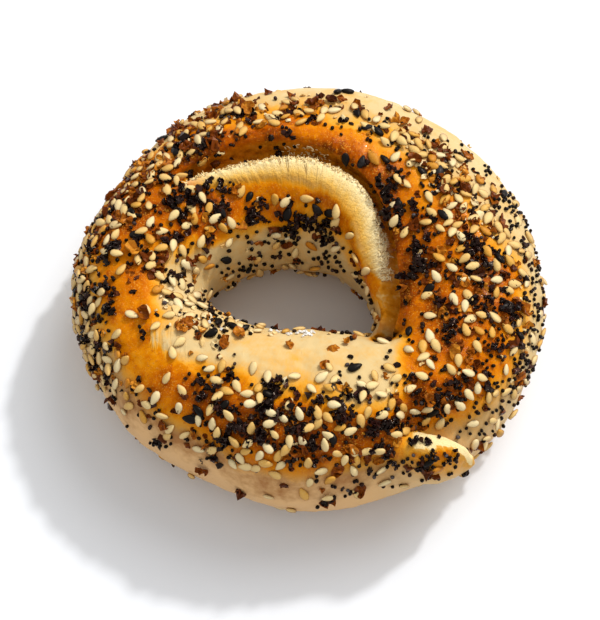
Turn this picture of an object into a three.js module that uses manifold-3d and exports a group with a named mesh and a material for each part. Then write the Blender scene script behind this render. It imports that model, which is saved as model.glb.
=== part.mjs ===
// Hand rolled everything bagel: one baked ring of dough whose top split along a
// spiral seam, with the tapered end of the rope tucked in at the front right.
// Millimetres, +Z up, resting on z = 0, the hole along Z.
import * as THREE from 'three';
import { ParametricGeometry } from 'three/addons/geometries/ParametricGeometry.js';
import { mergeVertices } from 'three/addons/utils/BufferGeometryUtils.js';
import Module from 'manifold-3d';

const wasm = await Module();
wasm.setup();

// ---- driving dimensions ----
// twelve values each, one every 30 degrees counter-clockwise from +X
const OUTER_RADIUS = [55.9, 55.6, 56.0, 54.8, 55.6, 54.1, 55.6, 53.2, 48.8, 50.5, 52.0, 55.2];
const HOLE_RADIUS = [15.0, 12.0, 11.0, 10.4, 13.4, 17.8, 23.6, 14.8, 10.2, 8.6, 10.2, 16.0];
const CROWN_HEIGHT = [36.5, 37.0, 36.8, 36.3, 35.2, 34.5, 34.5, 35.5, 37.0, 37.5, 36.5, 36.0];
// where the seam sits round the section: 0 outward, 90 on top, 180 facing the hole
const SEAM_ANGLE = [137, 117.5, 103, 93, 85, 72, 70, 80, 95, 110, 124, 141];
const BELT_HEIGHT = 15.5;
const FLAT_CUT = 2.2;
const SECTION_FULLNESS = 0.92;
const SEAM_START = 147;
const SEAM_END = -42;
const LIP_RISE = 1.7;
const SEAM_DEPTH = 7.0;
const TUCK_DIP = 4.6;
const CORNER_DIP = 3.5;
const LUMP_HEIGHT = 0.4;
// the ring is drawn about its hole, then moved so that its box is centred
const SHIFT_X = -0.65;
const SHIFT_Y = -2.08;
const RING_STEPS = 84;
const REST_STEPS = 12;
const SESAME = { count: 108, length: 3.3, width: 2.1, thickness: 1.3 };
const FLAKE = { count: 64, length: 4.6, width: 3.4, thickness: 1.8 };
const SPACING = 4.8;

// lines across the split in mm: distance from its middle, slide over the gap,
// and rise, where +1 is the top of the lip and -3.6 the bottom of the gap
const SEAM_LINES = [
  [-10.5, 0, 0], [-7, 0, 0.3], [-4.6, 0, 0.7], [-3, 0.1, 1], [-1.9, 0.45, 0.95],
  [-1.4, 0.7, 0.45], [-1.15, 0.6, -0.8], [-0.85, 0.1, -2.3], [-0.4, -0.2, -3.4],
  [0.3, 0, -3.6], [0.8, 0.15, -3.1], [1.15, 0.2, -1.7], [2, 0.1, -1.35],
  [3.7, 0, -0.75], [5.4, 0, -0.2], [7.5, 0, 0.1], [11.5, 0, 0],
];
const LAST_LINE = SEAM_LINES.length - 1;

const TAU = Math.PI * 2;
const rad = THREE.MathUtils.degToRad;
const clamp = THREE.MathUtils.clamp;
const ease = (x) => THREE.MathUtils.smoothstep(x, 0, 1);

// smooth curve through four values
function blend(a, b, c, d, f) {
  return b + 0.5 * f * (c - a + f * (2 * a - 5 * b + 4 * c - d + f * (3 * (b - c) + d - a)));
}

// smooth closed curve through equally spaced values round the ring
function around(values, theta) {
  const n = values.length;
  const t = ((((theta / TAU) * n) % n) + n) % n;
  const i = Math.floor(t);
  const pick = (k) => values[(i + k + n) % n];
  return blend(pick(-1), pick(0), pick(1), pick(2), t - i);
}

// smooth open curve through equally spaced values
function along(values, t) {
  const n = values.length - 1;
  const i = Math.min(Math.floor(t * n), n - 1);
  const pick = (k) => values[clamp(i + k, 0, n)];
  return blend(pick(-1), pick(0), pick(1), pick(2), t * n - i);
}

// angle folded into -180..180 degrees
const folded = (theta) => (((THREE.MathUtils.radToDeg(theta) + 180) % 360) + 360) % 360 - 180;

function seamStrength(theta) {
  const deg = folded(theta);
  return ease((SEAM_START - deg) / 20) * ease((deg - SEAM_END) / 22);
}

// the split is a narrow gap over the top and gapes wider beside the hole
function seamWidth(theta) {
  const deg = folded(theta);
  return 1 + 0.8 * ease((66 - deg) / 55) * ease((deg + 120) / 70);
}

// one line round the ring: its distance across the seam, slide and rise
function lineAt(line, theta) {
  const wide = seamWidth(theta);
  if (line <= LAST_LINE) {
    const i = Math.min(Math.floor(line), LAST_LINE - 1);
    const [s, slide, rise] = SEAM_LINES[i].map((x, k) => x + (SEAM_LINES[i + 1][k] - x) * (line - i));
    return { across: s * wide, slide: slide * wide, rise };
  }
  const first = SEAM_LINES[0][0] * wide;
  const last = SEAM_LINES[LAST_LINE][0] * wide;
  const f = (line - LAST_LINE) / REST_STEPS;
  return { across: last + (TAU * 20 + first - last) * f, slide: 0, rise: 0 };
}

// rounded section of the rope, flattened where it rests
function section(theta, v) {
  const outer = around(OUTER_RADIUS, theta);
  const hole = around(HOLE_RADIUS, theta);
  const crown = around(CROWN_HEIGHT, theta);
  const c = Math.cos(v);
  const s = Math.sin(v);
  const lift = Math.abs(s) ** SECTION_FULLNESS;
  const reach = Math.sign(c) * Math.abs(c) ** SECTION_FULLNESS;
  const height = s >= 0 ? crown - BELT_HEIGHT : -BELT_HEIGHT - FLAT_CUT;
  return {
    r: (outer + hole) / 2 + ((outer - hole) / 2) * reach,
    z: BELT_HEIGHT + height * lift,
  };
}

// slow swells of the dough, smaller towards the hole
function lumps(theta, v, r) {
  const swell = Math.sin(3 * theta + 1.3) * Math.cos(2 * v + 0.4)
    + 0.8 * Math.sin(5 * theta - 0.7 + v)
    + 0.55 * Math.sin(8 * theta + 2 * v + 2);
  return LUMP_HEIGHT * clamp(r / 38, 0, 1) * swell;
}

// the top sinks where the right hand rope dives under the tucked end,
// and where the inner strip meets the front rope at the corner of the hole
function dips(x, y, z) {
  const run = ((x - 18) * 0.985 - (y + 36) * 0.17) / 22;
  const inward = (y + 36) * 0.985 + (x - 18) * 0.17;
  const fade = Math.exp(-((inward / (inward > 0 ? 5.5 : 3)) ** 2));
  const tuck = TUCK_DIP * ease(run * 3.2 + 0.1) * fade * ease((z - 20) / 10);
  const corner = CORNER_DIP * Math.exp(-((x - 18.5) ** 2 + (y + 11) ** 2) / 30);
  return tuck + corner * ease((z - 8) / 14);
}

function ringPoint(theta, line) {
  const { across, slide, rise } = lineAt(line, theta);
  const v = rad(around(SEAM_ANGLE, theta)) + across / 20;
  const here = section(theta, v);
  const next = section(theta, v + 0.02);
  const last = section(theta, v - 0.02);
  const size = Math.hypot(next.r - last.r, next.z - last.z);
  const tr = (next.r - last.r) / size;
  const tz = (next.z - last.z) / size;
  const strength = seamStrength(theta);
  const relief = rise * strength * (rise > 0 ? LIP_RISE : SEAM_DEPTH / 3.6);
  const fall = dips(here.r * Math.cos(theta), here.r * Math.sin(theta), here.z);
  const lift = relief + lumps(theta, v, here.r) * clamp(here.z / 6, 0, 1) - fall;
  const r = here.r + tr * slide * strength + tz * lift;
  const z = here.z + tz * slide * strength - tr * lift;
  return new THREE.Vector3(r * Math.cos(theta), r * Math.sin(theta), Math.max(z, 0));
}

// tucked end of the rope, from its thick end to its point: its line along X,
// its edges towards and away from the hole, and its top
const TIP_X = [2, 11, 20, 26.5, 31.5, 35.8, 38.9];
const TIP_INSIDE = [-27, -33, -35.8, -36.4, -37.2, -38.3, -39.6];
const TIP_OUTSIDE = [-42, -44.4, -45.9, -46.3, -45.2, -43.4, -41.2];
const TIP_TOP = [26, 31.4, 32, 32, 30.4, 27.4, 21.5];
const TIP_UNDER = [6, 6, 6, 8, 10, 12, 15];
const TIP_BELT = 18;

function tipPoint(t, turn) {
  const inside = along(TIP_INSIDE, t);
  const outside = along(TIP_OUTSIDE, t);
  const close = Math.sqrt(clamp(t / 0.06, 0, 1)) * Math.sqrt(clamp((1 - t) / 0.06, 0, 1));
  const c = Math.cos(turn);
  const s = Math.sin(turn);
  const reach = ((inside - outside) / 2) * close * Math.sign(c) * Math.abs(c) ** (c > 0 ? 0.8 : 1);
  const height = along(s >= 0 ? TIP_TOP : TIP_UNDER, t) - TIP_BELT;
  const z = TIP_BELT + height * Math.abs(s) ** (c > 0 ? 0.5 : 1) * close;
  const lean = Math.max(TIP_BELT - z, 0) * 0.5;
  return new THREE.Vector3(along(TIP_X, t), (inside + outside) / 2 + reach + lean, z);
}

// closed solid from a wrapped sheet
function solidOf(sheet) {
  const bare = sheet.clone();
  bare.deleteAttribute('normal');
  bare.deleteAttribute('uv');
  const welded = mergeVertices(bare, 1e-4);
  const order = welded.index.array;
  const faces = [];
  for (let i = 0; i < order.length; i += 3) {
    const [a, b, c] = [order[i], order[i + 1], order[i + 2]];
    if (a !== b && b !== c && c !== a) faces.push(a, b, c);
  }
  const mesh = new wasm.Mesh({
    numProp: 3,
    vertProperties: new Float32Array(welded.attributes.position.array),
    triVerts: new Uint32Array(faces),
  });
  return new wasm.Manifold(mesh);
}

const sectionSteps = LAST_LINE + REST_STEPS;
const ringSheet = new ParametricGeometry(
  (u, w, target) => target.copy(ringPoint(u * TAU, Math.round(w * sectionSteps))),
  RING_STEPS,
  sectionSteps,
);
const tipSheet = new ParametricGeometry(
  (u, w, target) => target.copy(tipPoint(u, -w * TAU)),
  18,
  16,
);
const ring = solidOf(ringSheet);
const tip = solidOf(tipSheet);
const dough = ring.add(tip);

// ---- toppings that show from a step away, fused to the crust ----
// seeded dice, the same throws every time
function dice(seed) {
  let a = seed;
  return () => {
    a = (a + 0x6d2b79f5) | 0;
    let t = Math.imul(a ^ (a >>> 15), 1 | a);
    t = (t + Math.imul(t ^ (t >>> 7), 61 | t)) ^ t;
    return ((t ^ (t >>> 14)) >>> 0) / 4294967296;
  };
}

// places in plan where few toppings stuck: middle x, y, half sizes, share kept
const BARE = [
  [-40, -13, 6, 18, 0.3],
  [30, -27, 8, 8, 0.3],
  [0.6, 38, 12, 5, 0.2],
  [-0.6, -19, 19, 6, 0.15],
];

function keepShare(theta, line, spot) {
  const { across } = lineAt(line, theta);
  const inSplit = seamStrength(theta) > 0.1 && across > -2.4 * seamWidth(theta) && across < 8.5;
  if (inSplit) return 0;
  const inTip = spot.x > 4 && spot.x < 40 && spot.y < along(TIP_INSIDE, clamp((spot.x - 2) / 37, 0, 1)) + 1;
  if (inTip) return 0;
  const frontSide = spot.y < -24 && spot.z < 19 ? 0.12 : 1;
  return BARE.reduce((share, [x, y, a, b, kept]) => {
    const far = Math.hypot((spot.x - x) / a, (spot.y - y) / b);
    return far < 1 ? share * kept : share;
  }, frontSide);
}

// a small body lying on the crust: flat side along the surface, part sunk in
function lay(shape, spot, outward, size, yaw, sink) {
  const up = outward.clone().normalize();
  const side = Math.abs(up.z) > 0.9 ? new THREE.Vector3(1, 0, 0) : new THREE.Vector3(0, 0, 1);
  const ahead = side.addScaledVector(up, -side.dot(up)).normalize().applyAxisAngle(up, yaw);
  const across = new THREE.Vector3().crossVectors(up, ahead);
  const seat = spot.clone().addScaledVector(up, size.thickness * (0.5 - sink));
  const frame = new THREE.Matrix4().makeBasis(ahead, across, up).setPosition(seat);
  const body = shape.clone();
  body.scale(size.length / 2, size.width / 2, size.thickness / 2);
  body.applyMatrix4(frame);
  return solidOf(body);
}

const throwDie = dice(11);
const taken = [];
const bodies = [];
function scatter(shape, size, count) {
  let placed = 0;
  for (let tries = 0; placed < count && tries < 20000; tries += 1) {
    const theta = throwDie() * TAU;
    const line = throwDie() * sectionSteps;
    const yaw = throwDie() * TAU;
    const chance = throwDie();
    const spot = ringPoint(theta, line);
    const round = ringPoint(theta + 0.01, line).sub(spot).multiplyScalar(100);
    const over = ringPoint(theta, line + 0.05).sub(spot).multiplyScalar(20);
    const outward = round.clone().cross(over);
    const area = outward.length() / 250;
    const clear = taken.every((other) => other.distanceTo(spot) > SPACING);
    const seen = spot.z > 7 && (spot.z > 10 || spot.x * spot.x + spot.y * spot.y > 900);
    if (seen && clear && chance < area * keepShare(theta, line, spot)) {
      bodies.push(lay(shape, spot, outward, size, yaw, 0.5));
      taken.push(spot);
      placed += 1;
    }
  }
}
scatter(new THREE.OctahedronGeometry(1, 0), FLAKE, FLAKE.count);
scatter(new THREE.IcosahedronGeometry(1, 0), SESAME, SESAME.count);

// a topping that missed the crust is left off
const joined = wasm.Manifold.union([dough, ...bodies]).decompose();
const largest = joined.reduce((a, b) => (b.volume() > a.volume() ? b : a));
const bagel = largest.translate([SHIFT_X, SHIFT_Y, 0]);

const out = bagel.getMesh();
const geometry = new THREE.BufferGeometry();
geometry.setAttribute('position', new THREE.BufferAttribute(new Float32Array(out.vertProperties), 3));
geometry.setIndex(new THREE.BufferAttribute(new Uint32Array(out.triVerts), 1));
geometry.computeVertexNormals();
const crust = new THREE.MeshStandardMaterial({ color: 0xc98a3c, roughness: 0.62, metalness: 0 });
const mesh = new THREE.Mesh(geometry, crust);
mesh.name = 'bagel';
const group = new THREE.Group();
group.name = 'everything_bagel';
group.add(mesh);
export default group;
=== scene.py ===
import math

import bmesh
import bpy
import numpy as np
from mathutils import Matrix, Vector, noise
from mathutils.bvhtree import BVHTree
from mathutils.kdtree import KDTree


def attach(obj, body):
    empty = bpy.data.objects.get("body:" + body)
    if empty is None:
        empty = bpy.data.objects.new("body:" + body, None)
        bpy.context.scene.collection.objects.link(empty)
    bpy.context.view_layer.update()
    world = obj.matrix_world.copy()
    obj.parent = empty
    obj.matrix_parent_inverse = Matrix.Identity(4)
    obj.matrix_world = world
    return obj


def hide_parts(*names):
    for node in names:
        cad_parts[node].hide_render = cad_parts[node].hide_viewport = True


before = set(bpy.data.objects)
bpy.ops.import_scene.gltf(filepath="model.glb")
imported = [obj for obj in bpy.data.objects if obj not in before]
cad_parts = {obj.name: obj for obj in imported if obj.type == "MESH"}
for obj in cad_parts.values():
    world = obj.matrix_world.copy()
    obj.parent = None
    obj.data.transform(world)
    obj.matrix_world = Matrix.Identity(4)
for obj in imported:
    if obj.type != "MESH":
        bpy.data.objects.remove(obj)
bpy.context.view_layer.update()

# ----------------------------------------
# Dough
# One hand rolled rope of wheat dough, boiled and baked into a ring. The crust
# split along a spiral while it rose, and the rope's end is tucked in in front.
# ----------------------------------------
MM = 0.001
TAU = 2 * math.pi
# twelve values each, one every 30 degrees counter-clockwise from +X: sizes in mm,
# SEAM_ANGLE in degrees round the section, SPLIT_WIDTH as a share of the gap's lines
OUTER_RADIUS = np.array([55.9, 55.6, 56.0, 54.8, 55.6, 54.1, 55.6, 53.2, 48.8, 50.5, 52.0, 55.2])
HOLE_RADIUS = np.array([15.3, 12.0, 11.0, 10.4, 13.4, 17.8, 23.6, 14.8, 10.2, 8.6, 10.4, 17.3])
CROWN_HEIGHT = np.array([36.5, 37.0, 36.8, 36.3, 35.2, 34.5, 34.5, 35.5, 37.0, 37.5, 36.5, 36.0])
SEAM_ANGLE = np.array([139, 123, 105.5, 93, 88, 76, 70, 80, 95, 110, 124, 139.0])
SPLIT_WIDTH = np.array([2.4, 1.5, 0.95, 1.15, 1.5, 1.0, 1.0, 1.0, 1.0, 1.0, 1.2, 2.0])
CRUMB_WIDTH = np.array([2.4, 3.9, 5.8, 5.4, 4.2, 3.2, 2.5, 2.5, 2.5, 2.5, 2.5, 3.0])
LIP_RISE = np.array([0.6, 0.6, 1.15, 1.7, 1.7, 1.2, 1.0, 1.0, 1.0, 1.0, 1.0, 0.9])
CRUMB_RIDGE = np.array([1.2, 3.1, 2.2, 0.7, 0.2, 0.0, 0.0, 0.0, 0.0, 0.0, 0.0, 0.3])
# the degrees round the section where the golden crust starts (outer side) and
# ends (hole side), and how dark it is baked there, 0 to 1
GOLD_FROM = np.array([49, 74, 78, 68, 54, 34, 46, 42, 36, 33, 38, 41.0])
GOLD_TO = np.array([166, 157, 149, 139, 140, 132, 112, 86, 90, 88, 76, 132.0])
BAKE_DEPTH = np.array([0.86, 0.84, 0.86, 0.89, 0.92, 0.93, 0.72, 0.83, 0.95, 0.97, 0.93, 0.92])
# the section is widest at BELT_HEIGHT, and would reach FLAT_CUT below the table
# if it weren't cut flat there; below 1, FULLNESS makes it squarer than an oval
BELT_HEIGHT = 15.5
FLAT_CUT = 2.2
FULLNESS = 0.92
SECTION_RADIUS = 20
RING_RADIUS = 30
# the split, in degrees round the ring, with the degrees it takes to open and close
SEAM_START = 147
SEAM_END = -42
SEAM_OPENS = 20
SEAM_CLOSES = 22
SEAM_DEPTH = 5.2
LUMP_HEIGHT = 0.4
# where the right hand rope sinks under the tucked end, and which way it runs
TUCK_X, TUCK_Y = 18, -36
TUCK_COS, TUCK_SIN = 0.985, 0.17
TUCK_LENGTH = 22
TUCK_DIP = 4.6
# deep corners of the hole: x and y, each with its half width, and share of
# CORNER_DIP; the front rope passes under the split at the first, at the right
CORNERS = [(18, 3.8, -12.3, 2.6, 1), (-24.6, 1.7, -3.6, 2.3, 0.5)]
CORNER_DIP = 8.0
# stretch marks left of the hole: degrees round the ring and the section, each
# with its half width, and strength
STRETCHED = [(-153, 6.5, 85, 10, 1), (170, 6, 112, 10, 0.8)]
STRETCH_HEIGHT = 0.3
# the hole's middle is the origin here; this moves the ring's box to the middle
SHIFT = np.array([-0.65, -2.08, 0.0])
REST_LINES = 12
# lines across the split: where they lie, how far they slide over the gap and
# rise; the gap runs from GAP_LIP to GAP_RIM and the bare crumb to CRUMB_END
GAP_LIP, GAP_RIM, CRUMB_END = -1.3, 1.6, 6.6
SEAM_LINES = np.array([
    [-10.5, 0, 0], [-7, 0, 0.3], [-4.6, 0, 0.7], [-3, 0.1, 1], [-1.9, 0.4, 0.95],
    [-1.45, 0.6, 0.5], [-1.25, 0.5, -0.15], [-1.0, 0.2, -0.65], [-0.5, -0.1, -1],
    [0.7, 0, -1], [1.25, 0, -0.8], [1.5, 0.05, -0.25], [1.7, 0, 0.1],
    [2.6, 0, 0.45], [4.4, 0, 0.4], [6.6, 0, 0.15], [9, 0, 0], [12, 0, 0],
])
LAST = len(SEAM_LINES) - 1


def blend(a, b, c, d, f):
    return b + 0.5 * f * (c - a + f * (2 * a - 5 * b + 4 * c - d + f * (3 * (b - c) + d - a)))


def around(values, theta):
    """Smooth closed curve through equally spaced values round the ring."""
    n = len(values)
    t = (theta / TAU * n) % n
    i = np.floor(t).astype(int)
    a, b, c, d = (values[(i + k) % n] for k in (-1, 0, 1, 2))
    return blend(a, b, c, d, t - i)


def along(values, t):
    """Smooth open curve through equally spaced values (or rows), t from 0 to 1."""
    values = np.asarray(values, float)
    n = len(values) - 1
    i = np.clip(np.floor(t * n).astype(int), 0, n - 1)
    f = t * n - i
    if values.ndim > 1:
        f = f[..., None]
    a, b, c, d = (values[np.clip(i + k, 0, n)] for k in (-1, 0, 1, 2))
    return blend(a, b, c, d, f)


def ease(x):
    x = np.clip(x, 0, 1)
    return x * x * (3 - 2 * x)


def folded(theta):
    return (np.degrees(theta) + 180) % 360 - 180


def seam_strength(theta):
    deg = folded(theta)
    return ease((SEAM_START - deg) / SEAM_OPENS) * ease((deg - SEAM_END) / SEAM_CLOSES)


def place_across(s, theta):
    """Distance from the middle of the split in mm for a place on its lines."""
    gap, crumb = around(SPLIT_WIDTH, theta), around(CRUMB_WIDTH, theta)
    over_crumb = np.clip((s - GAP_RIM) / (CRUMB_END - GAP_RIM), 0, 1) * crumb
    over_gap = np.clip(s, GAP_LIP, GAP_RIM) * gap + np.minimum(s - GAP_LIP, 0)
    return over_gap + over_crumb + np.maximum(s - CRUMB_END, 0)


def grain(points, size, seed, octaves=3):
    """Smooth random swell, about -1 to 1, for points in mm."""
    off = Vector((seed * 17.3, seed * 5.1, seed * 11.9))
    spots = points.reshape(-1, 3)
    swell = np.array([noise.fractal(Vector(p) / size + off, 0.6, 2.0, octaves) for p in spots])
    return swell.reshape(points.shape[:-1])


def section(theta, v):
    outer = around(OUTER_RADIUS, theta)
    hole = around(HOLE_RADIUS, theta)
    crown = around(CROWN_HEIGHT, theta)
    c, s = np.cos(v), np.sin(v)
    r = (outer + hole) / 2 + (outer - hole) / 2 * np.sign(c) * np.abs(c) ** FULLNESS
    height = np.where(s >= 0, crown - BELT_HEIGHT, -BELT_HEIGHT - FLAT_CUT)
    return r, BELT_HEIGHT + height * np.abs(s) ** FULLNESS


def way_round(theta, v):
    """Unit direction along the section: how far outwards and how far up."""
    r1, z1 = section(theta, v + 0.02)
    r0, z0 = section(theta, v - 0.02)
    size = np.hypot(r1 - r0, z1 - z0)
    return (r1 - r0) / size, (z1 - z0) / size


def lumps(theta, v, r):
    swell = np.sin(3 * theta + 1.3) * np.cos(2 * v + 0.4)
    swell = swell + 0.8 * np.sin(5 * theta - 0.7 + v) + 0.55 * np.sin(8 * theta + 2 * v + 2)
    return LUMP_HEIGHT * np.clip(r / 38, 0, 1) * swell


def bells(a, b, rows):
    """Sum of soft bumps over two measures; rows are (a, half width, b, half width, share)."""
    return sum(
        share * np.exp(-((a - at_a) / wide_a) ** 2 - ((b - at_b) / wide_b) ** 2)
        for at_a, wide_a, at_b, wide_b, share in rows)


def corner(x, y, z):
    return bells(x, y, CORNERS) * ease((z - 8) / 14)


def tuck(x, y, z):
    """How far the right hand rope sinks where the tucked end lies against it."""
    run = ((x - TUCK_X) * TUCK_COS - (y - TUCK_Y) * TUCK_SIN) / TUCK_LENGTH
    inward = (y - TUCK_Y) * TUCK_COS + (x - TUCK_X) * TUCK_SIN
    near = np.exp(-(inward / np.where(inward > 0, 5.5, 3)) ** 2)
    return TUCK_DIP * ease(run * 3.2 + 0.1) * near * ease((z - 20) / 10)


def baked(theta, turn, lower=0):
    """How far the crust is browned, 0 to 1; lower moves the golden part down in degrees."""
    start, end = around(GOLD_FROM, theta) - lower, around(GOLD_TO, theta)
    return ease((turn - start + 20) / 44) * ease((end + 13 - turn) / 30) * around(BAKE_DEPTH, theta)


def ring_surface(theta, line):
    """Points of the ring in mm with what each one is made of."""
    strength = seam_strength(theta)
    arc = theta * RING_RADIUS
    flat = np.stack([arc, line * 0, line * 0], -1)
    ragged = grain(flat, 2.2, 3, 5) * 0.75
    rim_line = 11.3
    edge = np.exp(-((line - rim_line) / 1.8) ** 2)
    row = along(SEAM_LINES, np.clip((line + ragged * edge * 1.5) / LAST, 0, 1))
    plain = along(SEAM_LINES[:, 0], np.clip(line / LAST, 0, 1))
    slide, rise = row[..., 1], row[..., 2]
    first = place_across(np.array(SEAM_LINES[0, 0]), theta)
    last = place_across(np.array(SEAM_LINES[-1, 0]), theta)
    rest = np.clip((line - LAST) / REST_LINES, 0, 1)
    round_rest = last + (TAU * SECTION_RADIUS + first - last) * rest
    across = np.where(line <= LAST, place_across(plain, theta), round_rest)
    v = np.radians(around(SEAM_ANGLE, theta)) + across / SECTION_RADIUS
    r, z = section(theta, v)
    tr, tz = way_round(theta, v)
    x, y = r * np.cos(theta), r * np.sin(theta)
    solid = np.stack([x, y, z], -1)
    # torn crumb: strands that run across the split, and a shaggy wall
    s = np.where(line <= LAST, plain, 12 + 30 * rest)
    strand = np.stack([arc / 0.55, s / 3.0, z * 0], -1)
    shag = grain(strand, 2.0, 7, 4)
    deg = folded(theta)
    bare_end = 1.3 + 6.1 * ease((deg + 1) / 22) + ragged
    crumb = ease((s - 1.3) / 0.5) * ease((bare_end - s) / 2.4) * strength
    gap_end = 1.7 + 3.6 * ease((3 - deg) / 9)
    gap = ease((s + 1.45) / 0.4) * ease((gap_end - s) / 0.5) * strength
    # the hole's deep corners take the split's colour too, at up to twice its strength, which turns them near
    # black: painted shadow in the pocket with some char
    gap = np.maximum(gap, 2 * ease(corner(x, y, z) * 1.6 - 0.2))
    pits = grain(solid, 0.9, 9, 2)
    swell = grain(solid, 8.0, 1, 3) * 0.32
    pimple = grain(solid, 2.4, 2, 2) * 0.07
    side = np.clip(z / 6, 0, 1)
    lift = rise * strength * np.where(rise > 0, around(LIP_RISE, theta), SEAM_DEPTH)
    lift = lift + strength * around(CRUMB_RIDGE, theta) * np.clip((s - 1.6) / 5, 0, 1) * ease((13 - s) / 6.4)
    lift = lift + (lumps(theta, v, r) + swell + pimple) * side - tuck(x, y, z)
    near_rim = np.exp(-((s - 1.9) / 1.0) ** 2) * strength
    lift = lift + crumb * shag * 0.12 + near_rim * (shag * 0.25 + pits * 0.25) + gap * pits * 0.4
    turn = np.degrees(v) % 360
    round_turn = np.where(turn > 270, turn - 360, turn)
    pull = np.clip(bells(deg, round_turn, STRETCHED), 0, 1)
    lift = lift + pull * STRETCH_HEIGHT
    rr = r + tr * slide * strength + tz * lift
    zz = z + tz * slide * strength - tr * lift - CORNER_DIP * corner(x, y, z)
    points = np.stack([rr * np.cos(theta), rr * np.sin(theta), np.maximum(zz, 0)], -1)
    drift = grain(solid, 14.0, 5, 3) * 9
    bake = baked(theta, round_turn + drift * np.where(round_turn > 80, -1, 1))
    bake = bake * np.where(s > 0, 1 - 0.75 * strength * ease((bare_end + 1.1 - s) / 3), 1)
    lip = ease((s + 6.5) / 4.5) * ease((-0.7 - s) / 0.5) * strength
    kind = dict(arc=arc, across=s, crumb=crumb, gap=gap, bake=bake, lip=lip, pull=pull)
    return points, kind


# tucked end of the rope, from its thick end to its point
TIP_X = [2, 11, 20, 26.5, 31.5, 35.8, 38.9]
TIP_INSIDE = [-27, -33, -35.8, -36.4, -37.2, -38.6, -40.2]
TIP_OUTSIDE = [-42, -44.4, -45.9, -46.3, -45.2, -43.2, -41.3]
TIP_TOP = [26, 31.4, 32, 32, 30.2, 26.6, 20.5]
TIP_UNDER = [6, 6, 6, 8, 10, 12, 15]
TIP_BELT = 18


def tip_surface(t, turn):
    inside, outside = along(TIP_INSIDE, t), along(TIP_OUTSIDE, t)
    close = np.sqrt(np.clip(t / 0.06, 0, 1)) * np.sqrt(np.clip((1 - t) / 0.06, 0, 1))
    c, s = np.cos(turn), np.sin(turn)
    reach = (inside - outside) / 2 * close * np.sign(c) * np.abs(c) ** np.where(c > 0, 0.8, 1)
    height = np.where(s >= 0, along(TIP_TOP, t), along(TIP_UNDER, t)) - TIP_BELT
    z = TIP_BELT + height * np.abs(s) ** np.where(c > 0, 0.5, 1) * close
    y = (inside + outside) / 2 + reach + np.maximum(TIP_BELT - z, 0) * 0.5
    points = np.stack([along(TIP_X, t), y, z], -1)
    bumps = grain(points, 5.0, 6, 3)
    points[..., 1] += bumps * 0.3
    points[..., 2] += bumps * 0.35
    from_edge = inside - points[..., 1]
    flakes = grain(points, 1.5, 12, 2)
    crest = np.exp(-((from_edge - 1.2) / 0.9) ** 2) * ease(s / 0.3)
    crest = crest * ease((t - 0.3) / 0.15) * ease((1 - t) / 0.05)
    points[..., 2] += crest * (0.7 + 0.5 * flakes)
    wide = 4.4 + 2.6 * ease((0.74 - t) / 0.25) + flakes
    pale_edge = ease((wide - from_edge) / 1.5) * ease((t - 0.3) / 0.15)
    pale_edge = pale_edge * ease(s / 0.5) * ease((1.03 - t) / 0.1)
    theta = np.arctan2(points[..., 1], points[..., 0])
    mid = (around(OUTER_RADIUS, theta) + around(HOLE_RADIUS, theta)) / 2
    from_mid = np.degrees(np.arctan2(z - BELT_HEIGHT, np.hypot(points[..., 0], points[..., 1]) - mid))
    bake = baked(theta, from_mid, 22 * ease((t - 0.35) / 0.4))
    bake = bake * (1 - 0.85 * pale_edge) * (1 - 0.35 * ease((t - 0.6) / 0.4))
    zero = t * 0
    kind = dict(arc=zero, across=40 - 37.6 * pale_edge, crumb=0.8 * pale_edge, gap=zero,
                bake=bake, lip=zero, pull=zero)
    return points, kind


def placed(name, data):
    obj = bpy.data.objects.new(name, data)
    bpy.context.scene.collection.objects.link(obj)
    return obj


def wrapped_sheet(name, steps_round, steps_over, surface):
    """A closed skin: a grid bent into shape and welded along its edges."""
    bm = bmesh.new()
    bmesh.ops.create_grid(bm, x_segments=steps_round, y_segments=steps_over, size=0.5)
    flat = np.array([v.co[:2] for v in bm.verts]) + 0.5
    points, kind = surface(flat[:, 0], flat[:, 1])
    points = (points + SHIFT) * MM
    for vert, point in zip(bm.verts, points):
        vert.co = point
    bmesh.ops.remove_doubles(bm, verts=bm.verts, dist=1e-7)
    bmesh.ops.dissolve_degenerate(bm, edges=bm.edges, dist=1e-8)
    bmesh.ops.recalc_face_normals(bm, faces=bm.faces)
    mesh = bpy.data.meshes.new(name)
    bm.to_mesh(mesh)
    bm.free()
    return placed(name, mesh), points, kind


SPLIT_SHARE, REST_SHARE = 0.46, 0.54
RING_GRID = 430, 214
TIP_GRID = 70, 60


def line_of(w):
    """Nearly half of the grid lines lie in the split, the rest go round the section."""
    rest = LAST + (w - SPLIT_SHARE) / REST_SHARE * REST_LINES
    return np.where(w < SPLIT_SHARE, w / SPLIT_SHARE * LAST, rest)


dough, ring_points, ring_kind = wrapped_sheet(
    "dough", *RING_GRID, lambda u, w: ring_surface((u - 0.5) * TAU, line_of(w)))
tip, tip_points, tip_kind = wrapped_sheet(
    "tip", *TIP_GRID, lambda u, w: tip_surface(u, w * TAU))
join = dough.modifiers.new("join", "BOOLEAN")
join.operation = "UNION"
join.object = tip
join.solver = "EXACT"
depsgraph = bpy.context.evaluated_depsgraph_get()
dough.data = bpy.data.meshes.new_from_object(dough.evaluated_get(depsgraph))
dough.modifiers.clear()
bpy.data.objects.remove(tip)
mesh = dough.data
mesh.name = "dough"


def tree_of(points):
    tree = KDTree(len(points))
    for i, point in enumerate(points):
        tree.insert(point, i)
    tree.balance()
    return tree


def mark(mesh, name, values):
    """Store a value at each vertex, for the material to read."""
    stored = mesh.attributes.new(name, "FLOAT", "POINT").data
    stored.foreach_set("value", np.asarray(values, np.float32))


# each vertex keeps what its place on the sheets said
known = tree_of(np.concatenate([ring_points, tip_points]))
nearest = np.array([known.find(v.co)[1] for v in mesh.vertices])

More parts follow.
